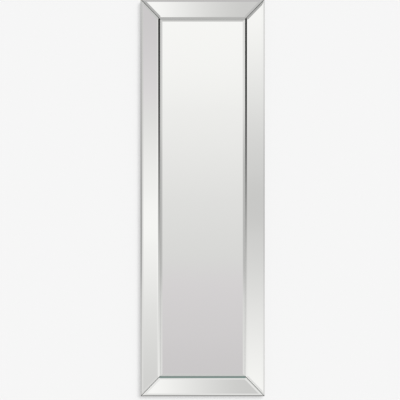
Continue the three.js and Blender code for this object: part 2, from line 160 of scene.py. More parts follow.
def black_fibreboard():
    """Rolled matt paint: a fine orange peel over the board's fibres, with paler rubbed patches."""
    material, tree, shader = new_material("black_fibreboard", (0.03, 0.03, 0.032), 0.7)
    patches = noise(tree, 14, 5, distortion=0.6)
    colour = two_colours(tree, patches, (0.022, 0.022, 0.024), (0.048, 0.047, 0.046))
    tree.links.new(colour, shader.inputs["Base Color"])
    spread(tree, noise(tree, 60), 0.55, 0.8, shader.inputs["Roughness"])
    raised(tree, shader, noise(tree, 900, 4), 0.12 * MM)
    return material


board = eased_copy("base_board", "fibreboard_back", 0.5 * MM)
finish_with(board, black_fibreboard(), "mirror_frame")

# ---- rails -----------------------------------------------------------------------------------
# Four wedge-section lengths of fibreboard, mitred and glued at the corners, that tilt the mirror
# strips. Their outer faces are sprayed with a satin silver lacquer that shows at the sides. The
# slopes under the glass are bare fibreboard, coloured nearly black: painted shade, so that the
# gaps between the panes show dark.

SIDES = ("bottom", "left", "top", "right")
LOOKS_FORWARDS = -0.7  # a face whose normal goes less than this far to the back


def facing_back(tree):
    """The piece's own normal along Y: -1 for a face that looks straight forwards, 1 for one that
    looks straight back."""
    place = tree.nodes.new("ShaderNodeTexCoord")
    parts = tree.nodes.new("ShaderNodeSeparateXYZ")
    tree.links.new(place.outputs["Normal"], parts.inputs["Vector"])
    return parts.outputs["Y"]


def choice(tree, factor, otherwise, colour):
    """The colour where the factor is 1, and the other where it is 0. Each is a socket or a grey."""
    node = tree.nodes.new("ShaderNodeMix")
    node.data_type = "RGBA"
    tree.links.new(factor, node.inputs["Factor"])
    sockets = [socket for socket in node.inputs if socket.type == "RGBA"]
    for socket, value in zip(sockets, (otherwise, colour)):
        if isinstance(value, float):
            socket.default_value = (value,) * 3 + (1,)
        else:
            tree.links.new(value, socket)
    return next(socket for socket in node.outputs if socket.type == "RGBA")


def silver_lacquer():
    """Satin silver lacquer: fine metal flake in a clear coat, with a slight orange peel. A face
    that looks forwards has none, and is bare board in a nearly black brown: painted shade for
    the gaps between the panes."""
    material, tree, shader = new_material("silver_lacquer", (0.55, 0.55, 0.54), 0.36, 0.55)
    bare = tree.nodes.new("ShaderNodeMath")
    bare.operation = "LESS_THAN"
    bare.inputs[1].default_value = LOOKS_FORWARDS
    tree.links.new(facing_back(tree), bare.inputs[0])
    flakes = two_colours(tree, noise(tree, 2600, 2), (0.47, 0.47, 0.465), (0.62, 0.62, 0.61))
    # painted shade: the bare board's colour is kept nearly black so that the gaps between the panes
    # show dark
    fibres = two_colours(tree, noise(tree, 400, 5), (0.03, 0.024, 0.018), (0.05, 0.04, 0.031))
    colour = choice(tree, bare.outputs[0], flakes, fibres)
    tree.links.new(colour, shader.inputs["Base Color"])
    spread(tree, bare.outputs[0], 0.55, 0.0, shader.inputs["Metallic"], 0, 1)
    spread(tree, bare.outputs[0], 0.5, 0.0, shader.inputs["Specular IOR Level"], 0, 1)
    spread(tree, noise(tree, 45, 4), 0.3, 0.44, shader.inputs["Roughness"])
    raised(tree, shader, noise(tree, 420, 2), 0.03 * MM)
    return material


lacquer = silver_lacquer()
for side in SIDES:
    rail = eased_copy(f"{side}_rail", f"{side}_wedge_rail", 0.6 * MM, 3)
    finish_with(rail, lacquer, "mirror_frame")

# ---- board screws ----------------------------------------------------------------------------
# Ten countersunk wood screws, 15 mm long, with rolled threads and cross recesses. They go
# through the base board into the rails. They are steel with a bright nickel plate.

TURN_STEPS = 48
HEAD_TOP_ROWS = 22
THREAD_PITCH = 1.7 * MM
THREAD_DEPTH = 0.45 * MM
THREAD_ROWS = 10  # to each pitch
PLAIN_NECK = 0.3 * MM  # between the thread and the head
TIP_LENGTH = 3 * MM
CORE = 0.72  # the thread's core, as a share of the neck's radius
RECESS_REACH = 2.1 * MM
RECESS_HALF_WIDTH = 0.5 * MM
RECESS_SLOPE = 0.16 * MM  # over which an arm's wall runs down


def ring_faces(rows, columns):
    """Quads between neighbouring rows of points, each row closing on itself."""
    row, column = np.meshgrid(np.arange(rows - 1), np.arange(columns), indexing="ij")
    here = row * columns + column
    beside = row * columns + (column + 1) % columns
    return np.stack([here, beside, beside + columns, here + columns], -1).reshape(-1, 4)


def grid_faces(rows, columns):
    """Quads between neighbouring points of an open grid."""
    row, column = np.meshgrid(np.arange(rows - 1), np.arange(columns - 1), indexing="ij")
    here = (row * columns + column).reshape(-1)
    return np.stack([here, here + 1, here + columns + 1, here + columns], -1)


def smooth(piece):
    """Shades all of a piece's faces smoothly."""
    piece.data.polygons.foreach_set("use_smooth", [True] * len(piece.data.polygons))


def worked(name, points, faces):
    """An object at the origin, whose mesh holds the points where they lie. Points that meet are
    merged and all faces are turned outwards."""
    mesh = bpy.data.meshes.new(name)
    mesh.from_pydata(points.reshape(-1, 3).tolist(), [], faces.tolist())
    work = bmesh.new()
    work.from_mesh(mesh)
    bmesh.ops.remove_doubles(work, verts=work.verts, dist=SAME_POINT / 5)
    bmesh.ops.recalc_face_normals(work, faces=work.faces)
    work.to_mesh(mesh)
    work.free()
    piece = bpy.data.objects.new(name, mesh)
    scene.collection.objects.link(piece)
    smooth(piece)
    return piece


def turned(profile, angles, x, z):
    """A profile of (radius, y) points turned about the line along Y through x, z: each point of
    the grid lies at x + radius cos(angle), y, z + radius sin(angle)."""
    radius, along = profile[:, 0, None], profile[:, 1, None]
    across = x + radius * np.cos(angles)
    upward = z + radius * np.sin(angles)
    return np.stack([across, along + 0 * angles, upward], -1)


def wood_screw(name, node, head):
    """A turned screw with its head's top at the node's +Y end. The shank's radius rises and falls
    as a helix, by a triangle wave of (angle + y / pitch), and the head's top sinks along a cross
    by a depth that falls off with the distance from each arm's middle line."""
    low, high = box_of(node)
    middle = (low + high) / 2
    face, tip = high[1], low[1]
    head_points = head(face)
    neck, head_height = head_points[0, 0], face - head_points[0, 1]
    shank_end = face - head_height - PLAIN_NECK
    shank_rows = int((shank_end - tip) / THREAD_PITCH * THREAD_ROWS)
    along = np.linspace(tip, shank_end, shank_rows)
    taper = np.minimum(1, (along - tip) / TIP_LENGTH) ** 0.7
    core = np.stack([neck * CORE * taper, along], -1)
    profile = np.concatenate([core, head_points])
    angles = np.arange(TURN_STEPS) * 2 * np.pi / TURN_STEPS
    points = turned(profile, angles, 0, 0)

    phase = (angles[None, :] / (2 * np.pi) - along[:, None] / THREAD_PITCH) % 1
    ridge = np.maximum(0, 1 - np.abs(phase - 0.5) * 4) * THREAD_DEPTH
    ridge = ridge * taper[:, None] * np.minimum(1, (shank_end - along[:, None]) / THREAD_PITCH)
    points[: len(along), :, 0] += ridge * np.cos(angles)
    points[: len(along), :, 2] += ridge * np.sin(angles)

    across, upward = points[..., 0], points[..., 2]
    on_top = np.arange(len(profile))[:, None] >= len(along) + len(head_points) - HEAD_TOP_ROWS
    reach = np.clip(1 - np.hypot(across, upward) / RECESS_REACH, 0, 1)
    arm = np.maximum(
        np.clip((RECESS_HALF_WIDTH - np.abs(across)) / RECESS_SLOPE, 0, 1),
        np.clip((RECESS_HALF_WIDTH - np.abs(upward)) / RECESS_SLOPE, 0, 1),
    )
    points[..., 1] -= on_top * arm * np.minimum(1, reach * 3) * (0.7 + 0.5 * reach) * MM
    points[..., 0] += middle[0]
    points[..., 2] += middle[2]
    screw = worked(name, points, ring_faces(len(profile), TURN_STEPS))
    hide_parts(node)
    return screw


def top_rows(radius, height, face):
    """Points across a head's top from its rim to its middle, domed by `height` as a circle's
    arc is."""
    reach = np.linspace(1, 0, HEAD_TOP_ROWS) * radius
    return np.stack([reach, face - height * (reach / radius) ** 2.4], -1)


def countersunk(face):
    """A flat head of 7.8 mm on a cone, over a shank of 3.8 mm."""
    cone = np.array([[1.9, 2.6], [1.9, 2.4], [3.75, 0.5], [3.88, 0.36], [3.86, 0.16]]) * MM
    cone[:, 1] = face - cone[:, 1]
    return np.concatenate([cone, top_rows(3.76 * MM, 0.05 * MM, face)])


def bright_nickel():
    """Nickel plate on rolled steel: fine rubbed scratches and a slightly milky, warm gloss."""
    material, tree, shader = new_material("bright_nickel", (0.62, 0.61, 0.59), 0.25, 1.0)
    tint = two_colours(tree, noise(tree, 90, 4), (0.58, 0.565, 0.54), (0.68, 0.67, 0.655))
    tree.links.new(tint, shader.inputs["Base Color"])
    spread(tree, noise(tree, 700, 4, (1, 1, 0.15)), 0.16, 0.36, shader.inputs["Roughness"])
    raised(tree, shader, noise(tree, 1500, 3), 0.01 * MM)
    return material


nickel = bright_nickel()
board_screws = [n for n in sorted(frame["nodes"]) if "_board_screw_" in n]
for node in board_screws:
    screw = wood_screw(node.replace("screw", "woodscrew"), node, countersunk)
    finish_with(screw, nickel, "mirror_frame")

# ---- tapes -----------------------------------------------------------------------------------
# Lengths of white double-sided foam tape, 24 mm wide and 1 mm thick, that hold the glass to the
# rails and the board. The foam's slit edges draw in a little between its two sticky faces.

DRAWN_IN = 0.012  # of the half width


def tape_strip(name, node):
    """A slab carried along its length: its section is the node's own, with both edges drawn in by
    a half sine between the two sticky faces."""
    mesh = frame["nodes"][node].data
    corners = np.empty(len(mesh.vertices) * 3)
    mesh.vertices.foreach_get("co", corners)
    corners = np.unique(np.round(corners.reshape(-1, 3), 7), axis=0)
    middle = corners.mean(0)
    axes = np.linalg.svd(corners - middle, full_matrices=False)[2]
    length, width, depth = (np.abs((corners - middle) @ axis).max() for axis in axes)
    ends = [np.abs(((corners - middle) @ axes[0])[((corners - middle) @ axes[1]) * s > 0]).max()
            for s in (-1, 1)]
    side, along = np.meshgrid(np.linspace(-1, 1, 9), np.linspace(-1, 1, 60), indexing="ij")
    levels = np.linspace(-1, 1, 7)
    drawn = 1 - DRAWN_IN * np.cos(levels * np.pi / 2)
    rows = []
    reach = ends[0] + (ends[1] - ends[0]) * (side + 1) / 2
    for level, pull in zip(levels, drawn):
        rows.append(
            middle
            + (along * reach)[..., None] * axes[0]
            + (side * width * pull)[..., None] * axes[1]
            + level * depth * axes[2]
        )
    return closed_stack(name, np.array(rows), node)


def closed_stack(name, levels, node):
    """A closed slab from a stack of equal grids: the lowest and highest grid are its faces, and
    their rims are joined level by level."""
    count, rows, columns = levels.shape[:3]
    rim = rim_order(rows, columns)
    flat = levels.reshape(count, rows * columns, 3)
    points = np.concatenate([flat[0], flat[-1], flat[:, rim].reshape(-1, 3)])
    face = grid_faces(rows, columns)
    start = 2 * rows * columns
    faces = np.concatenate([face[:, ::-1], face + rows * columns,
                            ring_faces(count, len(rim)) + start])
    slab = worked(name, points, faces)
    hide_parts(node)
    return slab


def rim_order(rows, columns):
    """The indices round the rim of a grid, in order."""
    index = np.arange(rows * columns).reshape(rows, columns)
    return np.concatenate([index[0, :-1], index[:-1, -1], index[-1, :0:-1], index[:0:-1, 0]])


def foam():
    """White closed-cell foam: fine round cells in a matt, slightly yellowed body."""
    material, tree, shader = new_material("white_foam", (0.85, 0.85, 0.82), 0.9)
    colour = two_colours(tree, noise(tree, 500, 2), (0.8, 0.79, 0.75), (0.88, 0.88, 0.86))
    tree.links.new(colour, shader.inputs["Base Color"])
    raised(tree, shader, noise(tree, 3000, 1), 0.15 * MM)
    return material


white_foam = foam()
tapes = [f"{side}_strip_tape" for side in SIDES]
tapes += [f"{place}_centre_tape" for place in ("left", "middle", "right")]
for node in tapes:
    tape = tape_strip(node.replace("tape", "foam"), node)
    finish_with(tape, white_foam, "mirror_frame")

# ---- mirror panes ----------------------------------------------------------------------------
# A centre pane and four mitred strips of 4 mm float glass, ground and polished to bevels along
# every side, silvered behind and sealed with grey paint. All their arrises are just rubbed off.

ARRIS = 0.22 * MM
SILVER = (0.93, 0.93, 0.925)
SIDEWAYS_FROM, BACKWARDS_FROM = 0.3, 0.7  # where 0 looks straight forwards and 1 straight back


def silvered_glass():
    """Seen from the front every facet is a clean mirror. The sides are green glass, and the back is
    grey paint. What a point is follows from which way its face looks: forwards, sideways or back."""
    material, tree, shader = new_material("silvered_glass", SILVER, 0.0, 1.0)
    backwards = tree.nodes.new("ShaderNodeMapRange")
    backwards.inputs["From Min"].default_value = -1
    backwards.inputs["From Max"].default_value = 1
    tree.links.new(facing_back(tree), backwards.inputs["Value"])
    for socket, front, side, back in (
        ("Base Color", SILVER, (0.20, 0.34, 0.29), (0.21, 0.22, 0.23)),
        ("Metallic", (1,) * 3, (0,) * 3, (0,) * 3),
        ("Roughness", (0,) * 3, (0.12,) * 3, (0.6,) * 3),
    ):
        steps = tree.nodes.new("ShaderNodeValToRGB")
        steps.color_ramp.interpolation = "CONSTANT"
        stops = steps.color_ramp.elements
        stops[0].color = (*front, 1)
        stops[1].position, stops[1].color = SIDEWAYS_FROM, (*side, 1)
        stops.new(BACKWARDS_FROM).color = (*back, 1)
        tree.links.new(backwards.outputs["Result"], steps.inputs["Fac"])
        tree.links.new(steps.outputs["Color"], shader.inputs[socket])
    return material


silvered = silvered_glass()
for node in ["centre_mirror"] + [f"{side}_mirror_strip" for side in SIDES]:
    glass = eased_copy(node, node.replace("mirror", "bevelled_mirror"), ARRIS, 2, 4)
    finish_with(glass, silvered, "mirror_frame")

# ---- ring hangers ----------------------------------------------------------------------------
# Two hangers for a wall instead of a door: a nickel-plated strip curled round the straight bar
# of a D-shaped wire ring, held to the base board and the rail by one pan-head screw.

PLATE = 0.8 * MM
PLATE_CORNER = 5 * MM
PLATE_EASE = 0.2 * MM
RING_WIRE = 1.1 * MM
RING_HALF_WIDTH = 10 * MM
RING_BEND = 3 * MM
RING_SIDES = 16
QUARTER_TURN = 1 - np.cos(np.linspace(0, np.pi / 2, 9))  # rows that follow a round corner


def arc(middle, radius, start, end, count=24):
    """Points on a circle's arc, from one angle to another, in degrees."""
    angle = np.radians(np.linspace(start, end, count))
    return np.stack([middle[0] + radius * np.cos(angle), middle[1] + radius * np.sin(angle)], -1)


def bent_strip(name, node, path, outer, inner, rows, thickness, ease):
    """A strip of even thickness carried along a path of (y, z) points. Each half runs from an
    inner to an outer half width, both functions of the length along the path, at the given rows;
    where the inner width is 0 the halves meet. Solidify gives the thickness, Bevel the edges."""
    low, high = box_of(node)
    x = (low[0] + high[0]) / 2
    lengths = np.concatenate([[0], np.cumsum(np.hypot(*np.diff(path, axis=0).T))])
    rows = np.unique(np.concatenate([rows, lengths]))
    rows = rows[np.concatenate([[True], np.diff(rows) > SAME_POINT])]
    y = np.interp(rows, lengths, path[:, 0])
    z = np.interp(rows, lengths, path[:, 1])
    share = np.linspace(0, 1, 5)
    width = inner(rows)[:, None] * (1 - share) + outer(rows)[:, None] * share
    halves = [
        np.stack([x + hand * width, y[:, None] + 0 * width, z[:, None] + 0 * width], -1)
        for hand in (-1, 1)
    ]
    faces = grid_faces(len(rows), len(share))
    faces = np.concatenate([faces, faces[:, ::-1] + len(rows) * len(share)])
    strip = worked(name, np.array(halves), faces)
    wall = strip.modifiers.new("sheet thickness", "SOLIDIFY")
    wall.thickness = thickness
    wall.offset = 0
    round_edges(strip, ease, 3)
    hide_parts(node)
    return strip


def rounded_end(half, corner):
    """The half width of a strip whose first end has two round corners, as a function of the
    length along it."""
    def half_width(s):
        return half - corner + np.sqrt(corner**2 - np.maximum(0, corner - s) ** 2)
    return half_width


def hanger_plate(name, node, ring_axis):
    """Flat down the board, then curled three quarters of the way round the ring's bar."""
    low, high = box_of(node)
    flat_y = low[1] + PLATE / 2
    curl = ring_axis[0] - flat_y
    path = np.concatenate([[[flat_y, high[2]]], arc(ring_axis, curl, 180, 450)])
    outer = rounded_end((high[0] - low[0]) / 2, PLATE_CORNER)
    rows = PLATE_CORNER * QUARTER_TURN
    return bent_strip(name, node, path, outer, np.zeros_like, rows, PLATE, PLATE_EASE)


def wire_ring(name, node, ring_axis):
    """A round wire bent to a D: its section is carried round a closed path of straights and arcs
    in the plane of the ring."""
    low, high = box_of(node)
    x = (low[0] + high[0]) / 2
    reach, bend, top = RING_HALF_WIDTH, RING_BEND, ring_axis[1]
    path = np.concatenate([
        arc((x + reach - bend, top - bend), bend, 90, 0, 13),
        arc((x, top - bend), reach, 0, -180, 61),
        arc((x - reach + bend, top - bend), bend, 180, 90, 13),
        np.stack([np.linspace(x - reach + bend, x + reach - bend, 8)[1:-1], np.full(6, top)], -1),
    ])
    path = path[np.hypot(*(path - np.roll(path, 1, 0)).T) > SAME_POINT]
    run = np.roll(path, -1, 0) - np.roll(path, 1, 0)
    run /= np.linalg.norm(run, axis=1)[:, None]
    outward = np.stack([-run[:, 1], run[:, 0]], -1)
    angle = np.arange(RING_SIDES) * 2 * np.pi / RING_SIDES
    flat = path[:, None, :] + RING_WIRE * np.cos(angle)[None, :, None] * outward[:, None, :]
    depth = ring_axis[0] + RING_WIRE * np.sin(angle)[None, :] + 0 * flat[..., 0]
    points = np.stack([flat[..., 0], depth, flat[..., 1]], -1)
    points = np.concatenate([points, points[:1]])
    ring = worked(name, points, ring_faces(len(points), RING_SIDES))
    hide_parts(node)
    return ring


def pan_head(face):
    """A domed head of 7.6 mm, 2.2 mm high, over a shank of 3.8 mm."""
    under = np.array([[1.9, 2.5], [1.9, 2.2], [3.6, 2.2], [3.78, 2.02], [3.8, 1.8]]) * MM
    under[:, 1] = face - under[:, 1]
    return np.concatenate([under, top_rows(3.8 * MM, 1.7 * MM, face)])


joint_at = {joint["child"]: joint.get("pos_m") for joint in frame["joints"]}
for hand in ("left", "right"):
    ring_axis = joint_at[f"{hand}_ring"][1:]
    plate = hanger_plate(f"{hand}_strap_plate", f"{hand}_hanger_plate", ring_axis)
    finish_with(plate, nickel, "mirror_frame")
    screw = wood_screw(f"{hand}_strap_screw", f"{hand}_hanger_screw", pan_head)
    finish_with(screw, nickel, "mirror_frame")
    ring = wire_ring(f"{hand}_d_ring", f"{hand}_hanger_ring", ring_axis)
    finish_with(ring, nickel, f"{hand}_ring")

# ---- door hooks ------------------------------------------------------------------------------
# Two straps of 32 by 1.8 mm steel, slotted, bent over the door's top and powder coated white.
# Each slides on two pan-head screws with washers, and has felt pads where it meets the door.

STRAP = 1.8 * MM
STRAP_BEND = 4.9 * MM  # to the middle of the sheet
LEG_CORNER = 6 * MM
FELT_POWER = 0.22
FELT_ROWS, FELT_COLUMNS = 49, 96
WASHER_HOLE = 2.2 * MM  # radius
WASHER_EASE = 0.15 * MM
SLOT_HALF = 2.3 * MM
SLOT_INSETS = (11 * MM, 77 * MM)  # from the front leg's end to the slot's two round ends
REAR_END = -42 * MM
FLARE = (4 * MM, 6 * MM)  # how far the rear leg's end turns out, and over what height
FLARE_BEND = (0.15 * MM, 1.5 * MM)  # the same for the soft start of the flare
FLARE_LEAN = 0.25 * MM  # how far the leaning sheet's skin reaches past its middle
STRAP_EASE = 0.45 * MM


def door_hook(name, node):
    """The strap's middle sheet from the front leg's lower end, up, over and down behind, with a
    flared end. The outer half width rounds the lower corners; the inner one opens a slot whose
    ends are half circles."""
    low, high = box_of(node)
    front, top = low[1] + STRAP / 2, high[2] - STRAP / 2
    rear = high[1] - FLARE[0] - STRAP / 2 + FLARE_LEAN
    path = np.concatenate([
        [[front, low[2]]],
        arc((front + STRAP_BEND, top - STRAP_BEND), STRAP_BEND, 180, 90),
        arc((rear - STRAP_BEND, top - STRAP_BEND), STRAP_BEND, 90, 0),
        [[rear, REAR_END + FLARE[1] + FLARE_BEND[1]]],
        [[rear + FLARE_BEND[0], REAR_END + FLARE[1]]],
        [[rear + FLARE[0] - FLARE_LEAN, REAR_END]],
    ])
    outer = rounded_end((high[0] - low[0]) / 2, LEG_CORNER)
    slot_low, slot_high = SLOT_INSETS

    def inner(s):
        past_end = np.maximum(0, np.maximum(slot_low - s, s - slot_high))
        return np.sqrt(np.maximum(0, SLOT_HALF**2 - past_end**2))

    rows = np.concatenate([
        LEG_CORNER * QUARTER_TURN,
        slot_low - SLOT_HALF + SLOT_HALF * QUARTER_TURN,
        slot_high + SLOT_HALF - SLOT_HALF * QUARTER_TURN,
        np.linspace(slot_low, slot_high, 8),
    ])
    return bent_strip(name, node, path, outer, inner, rows, STRAP, STRAP_EASE)


def powder_coat():
    """White powder coat: an even satin skin with a fine orange peel."""
    material, tree, shader = new_material("white_powder_coat", (0.82, 0.82, 0.8), 0.4)
    colour = two_colours(tree, noise(tree, 25, 3), (0.79, 0.79, 0.765), (0.84, 0.84, 0.825))
    tree.links.new(colour, shader.inputs["Base Color"])
    spread(tree, noise(tree, 120, 2), 0.34, 0.46, shader.inputs["Roughness"])
    raised(tree, shader, noise(tree, 1100, 2), 0.05 * MM)
    return material


def felt_slab(name, node):
    """A superellipsoid stretched to the node's box: each sine and cosine of a sphere's two angles
    is raised to FELT_POWER, which leaves nearly flat faces with soft, slightly swollen edges."""
    low, high = box_of(node)
    middle, half = (low + high) / 2, (high - low) / 2
    upward, around = np.meshgrid(np.linspace(-np.pi / 2, np.pi / 2, FELT_ROWS),
                                 np.arange(FELT_COLUMNS) * 2 * np.pi / FELT_COLUMNS, indexing="ij")

    def eased(wave):
        return np.sign(wave) * np.abs(wave) ** FELT_POWER

    thin = int(np.argmin(half))
    first, second = (axis for axis in range(3) if axis != thin)
    points = np.empty(upward.shape + (3,))
    points[..., first] = eased(np.cos(upward)) * eased(np.cos(around))
    points[..., second] = eased(np.cos(upward)) * eased(np.sin(around))
    points[..., thin] = eased(np.sin(upward))
    felt = worked(name, middle + points * half, ring_faces(FELT_ROWS, FELT_COLUMNS))
    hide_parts(node)
    return felt


def pressed_felt():
    """Pale grey pressed felt: matted fibres of two tones, with a soft sheen."""
    material, tree, shader = new_material("grey_felt", (0.6, 0.6, 0.58), 0.95)
    fibres = noise(tree, 1400, 6, distortion=2.5)
    colour = two_colours(tree, fibres, (0.42, 0.42, 0.41), (0.68, 0.68, 0.66))
    tree.links.new(colour, shader.inputs["Base Color"])
    shader.inputs["Sheen Weight"].default_value = 0.35
    shader.inputs["Sheen Roughness"].default_value = 0.6
    raised(tree, shader, noise(tree, 2200, 6, distortion=2), 0.35 * MM)
    return material


def washer(name, node):
    """A flat ring turned from a rounded rectangle."""
    low, high = box_of(node)
    middle, half = (low + high) / 2, (high - low) / 2
    rim, hole, ease = half[0], WASHER_HOLE, WASHER_EASE
    near, far = low[1], high[1]
    profile = np.array([
        [hole, near + ease], [hole + ease, near], [rim - ease, near], [rim, near + ease],
        [rim, far - ease], [rim - ease, far], [hole + ease, far], [hole, far - ease],
        [hole, near + ease],
    ])
    angles = np.arange(TURN_STEPS) * 2 * np.pi / TURN_STEPS
    points = turned(profile, angles, middle[0], middle[2])
    ring = worked(name, points, ring_faces(len(profile), TURN_STEPS))
    ring.data.set_sharp_from_angle(angle=math.radians(50))
    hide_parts(node)
    return ring


powder = powder_coat()
felt_material = pressed_felt()
for hand in ("left", "right"):
    strap = door_hook(f"{hand}_steel_strap", f"{hand}_door_hook")
    finish_with(strap, powder, f"{hand}_hook")
    for place in ("seat", "front", "rear"):
        pad = felt_slab(f"{hand}_{place}_felt", f"{hand}_hook_{place}_pad")
        finish_with(pad, felt_material, f"{hand}_hook")
    for place in ("upper", "lower"):
        ring = washer(f"{hand}_{place}_washer", f"{hand}_{place}_hook_washer")
        finish_with(ring, nickel, "mirror_frame")
        screw = wood_screw(f"{hand}_{place}_pan_screw", f"{hand}_{place}_hook_screw", pan_head)
        finish_with(screw, nickel, "mirror_frame")

# ---- bumpers ---------------------------------------------------------------------------------
# Four self-adhesive domes of clear soft rubber, 16 mm across, that keep the back's corners off
# the door. They are cast, with a flat top and a small moulded ring round their foot.

BUMPER_FLAT = 6.4 * MM  # radius of the flat top
BUMPER_POWER = 2.6
FOOT = 0.06  # of the height, which stands straight up


def bumper(name, node):
    """A dome turned about Y: its radius is that of a superellipse of BUMPER_POWER over its height,
    and its end is cut flat where it meets the door."""
    low, high = box_of(node)
    middle = (low + high) / 2
    radius, height = (high[0] - low[0]) / 2, high[1] - low[1]
    side = np.linspace(0, 1, 20)
    fall = 1 - (1 - (BUMPER_FLAT / radius) ** BUMPER_POWER) * side**3.2
    upward = low[1] + height * (FOOT + (1 - FOOT) * side)
    wall = np.stack([radius * fall ** (1 / BUMPER_POWER), upward], -1)
    profile = np.concatenate([
        [[0, low[1]], [radius * 0.5, low[1]], [radius - 0.2 * MM, low[1]]],
        wall,
        [[BUMPER_FLAT - 0.4 * MM, high[1]], [BUMPER_FLAT / 2, high[1]], [0, high[1]]],
    ])
    angles = np.arange(TURN_STEPS) * 2 * np.pi / TURN_STEPS
    points = turned(profile, angles, middle[0], middle[2])
    dome = worked(name, points, ring_faces(len(profile), TURN_STEPS))
    dome.data.set_sharp_from_angle(angle=math.radians(40))
    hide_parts(node)
    return dome


def clear_rubber():
    """Clear cast rubber: milky light through it, a soft gloss and a little dust."""
    material, tree, shader = new_material("clear_rubber", (0.8, 0.81, 0.79), 0.25)
    shader.inputs["Transmission Weight"].default_value = 0.55
    shader.inputs["IOR"].default_value = 1.45
    spread(tree, noise(tree, 300, 4), 0.18, 0.42, shader.inputs["Roughness"])
    raised(tree, shader, noise(tree, 600, 2), 0.02 * MM)
    return material


rubber = clear_rubber()
for node in [n for n in sorted(frame["nodes"]) if n.endswith("_bumper")]:
    dome = bumper(node.replace("bumper", "rubber_foot"), node)
    finish_with(dome, rubber, "mirror_frame")

# ---- wall and floor --------------------------------------------------------------------------
# A plain pale wall just behind the mirror, up to its top edge and seen from the front only, and
# a plain pale floor under it. Both look white where no shadow falls, and only cameras see them.

MIRROR_TOP = box_of("top_mirror_strip")[1][2]
MIRROR_BOTTOM = box_of("bottom_mirror_strip")[0][2]
MIRROR_MIDDLE = (MIRROR_TOP + MIRROR_BOTTOM) / 2
BACKGROUND = 0.9215
WALL_Y = 1.5 * MM
FLOOR_Z = MIRROR_BOTTOM - 40 * MM
REACH = 6.0
WALL_GLOW, FLOOR_GLOW, STAGE_PAINT = 0.541, 0.752, 0.1


def stage_plane(name, corners, material):
    """A four-cornered sheet of the stage that only cameras see."""
    mesh = bpy.data.meshes.new(name)
    mesh.from_pydata(corners, [], [(0, 1, 2, 3)])
    plane = bpy.data.objects.new(name, mesh)
    scene.collection.objects.link(plane)
    mesh.materials.append(material)
    for ray in ("diffuse", "glossy", "transmission", "volume_scatter", "shadow"):
        setattr(plane, f"visible_{ray}", False)
    return plane


def shadowed_white(name, own_light):
    """Glows with most of the background's white and takes the rest from the stage's lamp, so
    that a shadow only dims it. It is clear from behind."""
    material = bpy.data.materials.new(name)
    material.use_nodes = True
    tree = material.node_tree
    tree.nodes.clear()
    glow = tree.nodes.new("ShaderNodeEmission")
    glow.inputs["Color"].default_value = (own_light,) * 3 + (1,)
    matt = tree.nodes.new("ShaderNodeBsdfDiffuse")
    matt.inputs["Color"].default_value = (STAGE_PAINT,) * 3 + (1,)
    both = tree.nodes.new("ShaderNodeAddShader")
    tree.links.new(glow.outputs[0], both.inputs[0])
    tree.links.new(matt.outputs[0], both.inputs[1])
    clear = tree.nodes.new("ShaderNodeBsdfTransparent")
    pick = tree.nodes.new("ShaderNodeMixShader")
    tree.links.new(tree.nodes.new("ShaderNodeNewGeometry").outputs["Backfacing"], pick.inputs[0])
    tree.links.new(both.outputs[0], pick.inputs[1])
    tree.links.new(clear.outputs[0], pick.inputs[2])
    output = tree.nodes.new("ShaderNodeOutputMaterial")
    tree.links.new(pick.outputs[0], output.inputs["Surface"])
    return material


wall = stage_plane(
    "pale_wall",
    [(-REACH, WALL_Y, FLOOR_Z), (REACH, WALL_Y, FLOOR_Z),
     (REACH, WALL_Y, MIRROR_TOP), (-REACH, WALL_Y, MIRROR_TOP)],
    shadowed_white("pale_wall_paint", WALL_GLOW),
)
floor = stage_plane(
    "pale_floor",
    [(-REACH, -REACH, FLOOR_Z), (REACH, -REACH, FLOOR_Z),
     (REACH, REACH, FLOOR_Z), (-REACH, REACH, FLOOR_Z)],
    shadowed_white("pale_floor_paint", FLOOR_GLOW),
)

# ---- lights ----------------------------------------------------------------------------------
# A large soft key from the right and above, a dimmer fill from behind, and a lower lamp from the
# right that lights the wall and floor alone, to cast the soft shadow there.


def soft_sun(name, azimuth, elevation, spread_angle, strength):
    """A sun that shines from the given direction: azimuth from the mirror's front towards its
    right, both in degrees. Shiny surfaces don't show it."""
    lamp = bpy.data.lights.new(name, "SUN")
    lamp.angle = math.radians(spread_angle)
    lamp.energy = strength
    sun = bpy.data.objects.new(name, lamp)
    sun.rotation_euler = (math.radians(90 - elevation), 0, math.radians(azimuth))
    scene.collection.objects.link(sun)
    sun.visible_glossy = False
    return sun


soft_sun("key", 22, 30, 40, 1.3)
soft_sun("fill", 200, 25, 60, 0.8)
edge_light = soft_sun("edge_light", 13, 16, 24, 10.0)
lit_alone = bpy.data.collections.new("wall_and_floor")
lit_alone.objects.link(wall)
lit_alone.objects.link(floor)
edge_light.light_linking.receiver_collection = lit_alone

# ---- studio ----------------------------------------------------------------------------------
# What the mirror shows: a pale studio of tall soft panels with slow gradients. Directions are
# an azimuth from straight in front towards the right, and an elevation, both in degrees.

SILVERING = 0.93

world = bpy.data.worlds.new("studio")
scene.world = world
world.use_nodes = True
tree = world.node_tree
tree.nodes.clear()


def calc(operation, *values):
    """A Math node's result, from sockets or plain numbers."""
    node = tree.nodes.new("ShaderNodeMath")
    node.operation = operation
    for socket, value in zip(node.inputs, values):
        if isinstance(value, (int, float)):
            socket.default_value = value
        else:
            tree.links.new(value, socket)
    return node.outputs[0]


def rise(value, start, end):
    """0 up to start, 1 from end on, smooth between."""
    node = tree.nodes.new("ShaderNodeMapRange")
    node.interpolation_type = "SMOOTHSTEP"
    node.inputs["From Min"].default_value = start
    node.inputs["From Max"].default_value = end
    tree.links.new(value, node.inputs["Value"])
    return node.outputs["Result"]


def window(value, low, high, soft):
    """1 between low and high, falling smoothly to 0 over `soft` outside them."""
    return calc("MULTIPLY", rise(value, low - soft, low),
                calc("SUBTRACT", 1.0, rise(value, high, high + soft)))


def seen(grey):
    """The light that shows as a display grey of 0 to 255 in the silvering."""
    part = grey / 255
    return ((part + 0.055) / 1.055) ** 2.4 / SILVERING


